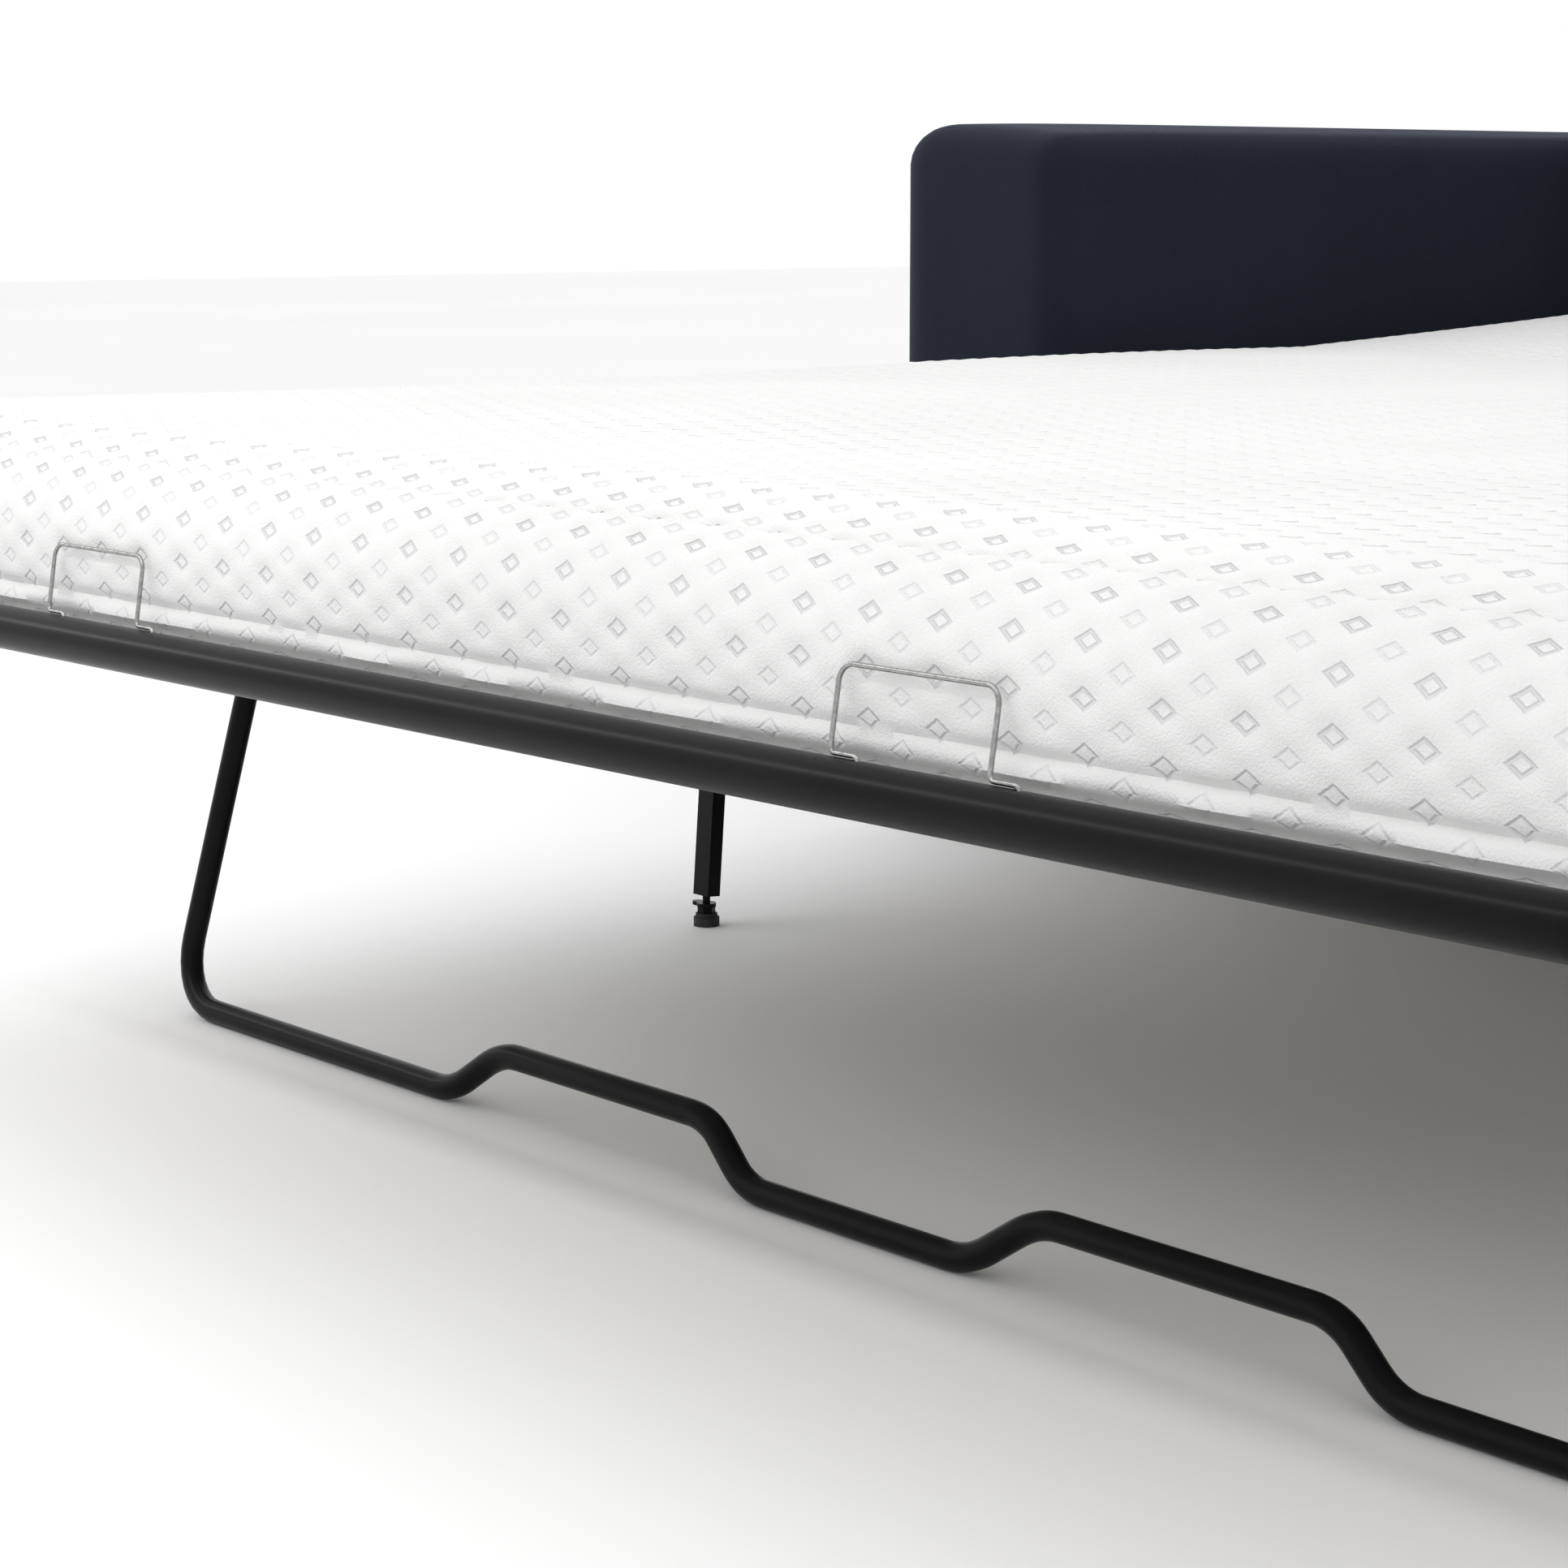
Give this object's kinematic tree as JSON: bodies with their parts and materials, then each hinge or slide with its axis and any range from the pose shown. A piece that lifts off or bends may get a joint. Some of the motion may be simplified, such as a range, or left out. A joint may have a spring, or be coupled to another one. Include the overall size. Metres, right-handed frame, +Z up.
{
  "type": "futon sofa bed",
  "caption": "Two-arm sofa with a pull-out folding bed, shown open: quilted mattress on hinged tube frames with slats, wire retaining hoops and fold-down legs.",
  "frame": {"origin": "centre of the open bed's footprint, on the floor", "axes": "+X across the bed, +Y from the foot tube towards the sofa's back, +Z up"},
  "size_m": [1.964, 2.125, 0.8],
  "materials": {
    "navy_fabric": "soft deep navy upholstery cloth",
    "frame_wood": "raw softwood and board",
    "foot_plastic": "black moulded plastic",
    "link_steel": "black painted flat steel",
    "zinc_plate": "bright zinc plating",
    "tube_black": "satin black powder coat",
    "slat_beech": "smooth laminated beech",
    "mattress_knit": "white quilted knit with embossed squares",
    "pad_rubber": "matt black rubber",
    "hoop_wire": "bright zinc-plated spring wire"
  },
  "bodies": {
    "sofa": {"arm_cover_left": "navy_fabric", "arm_cover_right": "navy_fabric", "arm_frame_left": "frame_wood", "arm_frame_right": "frame_wood", "back_cover": "navy_fabric", "back_board": "frame_wood", "rear_rail": "frame_wood", "front_stretcher": "navy_fabric", "sofa_feet": "foot_plastic", "side_plate_left": "link_steel", "side_plate_right": "link_steel", "plate_bolts": "zinc_plate"},
    "front_swing_arms": {"swing_arm_front_left": "link_steel", "swing_arm_front_right": "link_steel"},
    "rear_swing_arms": {"swing_arm_rear_left": "link_steel", "swing_arm_rear_right": "link_steel"},
    "middle_section": {"middle_rail_left": "tube_black", "middle_rail_right": "tube_black", "middle_cross_tubes": "tube_black", "middle_slats": "slat_beech", "middle_hinge_pins": "zinc_plate", "swing_pins": "zinc_plate", "middle_leg_pins": "zinc_plate", "middle_plugs": "foot_plastic", "mattress_middle": "mattress_knit"},
    "middle_legs": {"middle_leg_left": "tube_black", "middle_leg_right": "tube_black"},
    "leveller_left": {"leveller_pad_left": "pad_rubber", "leveller_stem_left": "tube_black"},
    "leveller_right": {"leveller_pad_right": "pad_rubber", "leveller_stem_right": "tube_black"},
    "front_links": {"front_link_left": "link_steel", "front_link_right": "link_steel", "front_link_tube": "tube_black", "fascia_board": "navy_fabric", "fascia_brackets": "link_steel", "mattress_front_link": "mattress_knit"},
    "foot_section": {"foot_tube": "tube_black", "foot_cross_tube": "tube_black", "foot_slats": "slat_beech", "foot_hinge_pins": "zinc_plate", "foot_plugs": "foot_plastic", "front_leg_pins": "zinc_plate", "mattress_foot": "mattress_knit"},
    "hoop_left": {"hoop_left": "hoop_wire"},
    "hoop_right": {"hoop_right": "hoop_wire"},
    "front_leg": {"front_leg": "tube_black"},
    "rear_links": {"rear_link_left": "link_steel", "rear_link_right": "link_steel", "rear_link_tube": "tube_black", "mattress_rear_link": "mattress_knit"},
    "head_section": {"head_tube": "tube_black", "head_cross_tube": "tube_black", "head_slats": "slat_beech", "head_hinge_pins": "zinc_plate", "head_plugs": "foot_plastic", "mattress_head": "mattress_knit"}
  },
  "joints": [
    {"name": "bed_fold", "type": "hinge", "parent": "sofa", "child": "front_swing_arms", "pos_m": [0, 0.21552, 0.10709], "axis": [-1, 0, 0], "range_deg": [0, 140], "deforming": ["mattress_middle", "mattress_front_link", "mattress_foot", "mattress_rear_link", "mattress_head"]},
    {"name": "rear_arm_pivot", "type": "hinge", "parent": "sofa", "child": "rear_swing_arms", "pos_m": [0, 0.49552, 0.10709], "axis": [-1, 0, 0], "range_deg": [0, 140.1]},
    {"name": "middle_carry", "type": "hinge", "parent": "front_swing_arms", "child": "middle_section", "pos_m": [0, 0.025, 0.315], "axis": [1, 0, 0], "range_deg": [0, 140.1]},
    {"name": "middle_leg_fold", "type": "hinge", "parent": "middle_section", "child": "middle_legs", "pos_m": [0, -0.296, 0.296], "axis": [1, 0, 0], "range_deg": [0, 94.3]},
    {"name": "leveller_left_turn", "type": "hinge", "parent": "middle_legs", "child": "leveller_left", "pos_m": [-0.711, -0.316, 0], "axis": [0, 0, 1], "continuous": true},
    {"name": "leveller_right_turn", "type": "hinge", "parent": "middle_legs", "child": "leveller_right", "pos_m": [0.711, -0.316, 0], "axis": [0, 0, 1], "continuous": true},
    {"name": "front_link_fold", "type": "hinge", "parent": "middle_section", "child": "front_links", "pos_m": [0, -0.305, 0.315], "axis": [-1, 0, 0], "range_deg": [0, 90.1]},
    {"name": "foot_fold", "type": "hinge", "parent": "front_links", "child": "foot_section", "pos_m": [0, -0.553, 0.315], "axis": [-1, 0, 0], "range_deg": [0, 90.1]},
    {"name": "front_leg_fold", "type": "hinge", "parent": "foot_section", "child": "front_leg", "pos_m": [0, -0.7, 0.3], "axis": [-1, 0, 0], "range_deg": [0, 74.1]},
    {"name": "hoop_left_tilt", "type": "hinge", "parent": "foot_section", "child": "hoop_left", "pos_m": [-0.339, -1.048, 0.3289], "axis": [1, 0, 0], "range_deg": [0, 80]},
    {"name": "hoop_right_tilt", "type": "hinge", "parent": "foot_section", "child": "hoop_right", "pos_m": [0.339, -1.048, 0.3289], "axis": [1, 0, 0], "range_deg": [0, 80]},
    {"name": "rear_link_fold", "type": "hinge", "parent": "middle_section", "child": "rear_links", "pos_m": [0, 0.335, 0.315], "axis": [1, 0, 0], "range_deg": [0, 86.6]},
    {"name": "head_fold", "type": "hinge", "parent": "rear_links", "child": "head_section", "pos_m": [0, 0.49171, 0.32459], "axis": [1, 0, 0], "range_deg": [0, 90.1]}
  ],
  "couplings": [
    {"joint": "rear_arm_pivot", "follows": "bed_fold", "ratio": 1},
    {"joint": "middle_carry", "follows": "bed_fold", "ratio": 1},
    {"joint": "middle_leg_fold", "follows": "bed_fold", "ratio": 0.67143},
    {"joint": "front_link_fold", "follows": "bed_fold", "ratio": 0.64286},
    {"joint": "foot_fold", "follows": "bed_fold", "ratio": 0.64286},
    {"joint": "front_leg_fold", "follows": "bed_fold", "ratio": 0.52857},
    {"joint": "rear_link_fold", "follows": "bed_fold", "ratio": 0.61786},
    {"joint": "head_fold", "follows": "bed_fold", "ratio": 0.64286}
  ]
}
